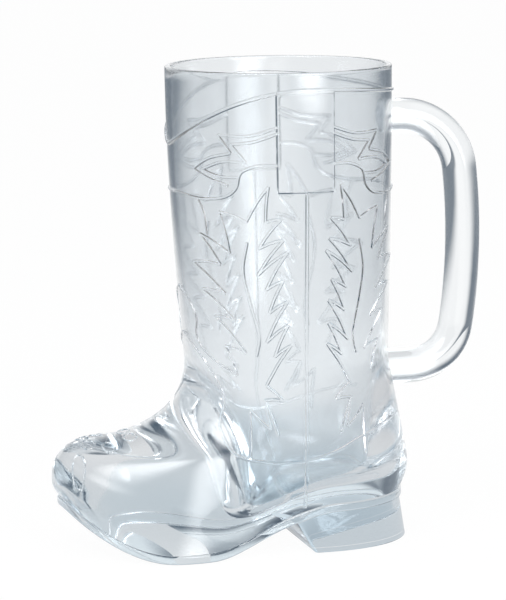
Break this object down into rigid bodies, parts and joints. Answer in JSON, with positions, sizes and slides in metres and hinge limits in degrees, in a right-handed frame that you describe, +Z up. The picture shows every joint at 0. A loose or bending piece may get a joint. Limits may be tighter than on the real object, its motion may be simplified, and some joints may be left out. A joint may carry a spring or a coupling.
{
  "type": "boot mug",
  "caption": "Clear moulded drinking mug shaped like a western boot, with a round rim, a solid foot with an upturned toe, a raised heel and a looped handle at the back.",
  "frame": {"origin": "middle of the footprint box at the table", "axes": "+Z up, -X towards the toe, +X towards the handle, Y across the boot"},
  "size_m": [0.1528, 0.0794, 0.165],
  "materials": {
    "clear_shell": "clear glossy polystyrene, faint blue tint",
    "clear_sole": "clear glossy polystyrene, edge reads blue-grey",
    "clear_heel": "clear glossy polystyrene, edge reads blue-grey",
    "clear_handle": "clear glossy polystyrene, solid rod"
  },
  "bodies": {
    "root": {"boot_upper": "clear_shell", "outsole": "clear_sole", "heel_block": "clear_heel", "heel_lift": "clear_heel", "handle": "clear_handle"}
  },
  "joints": []
}
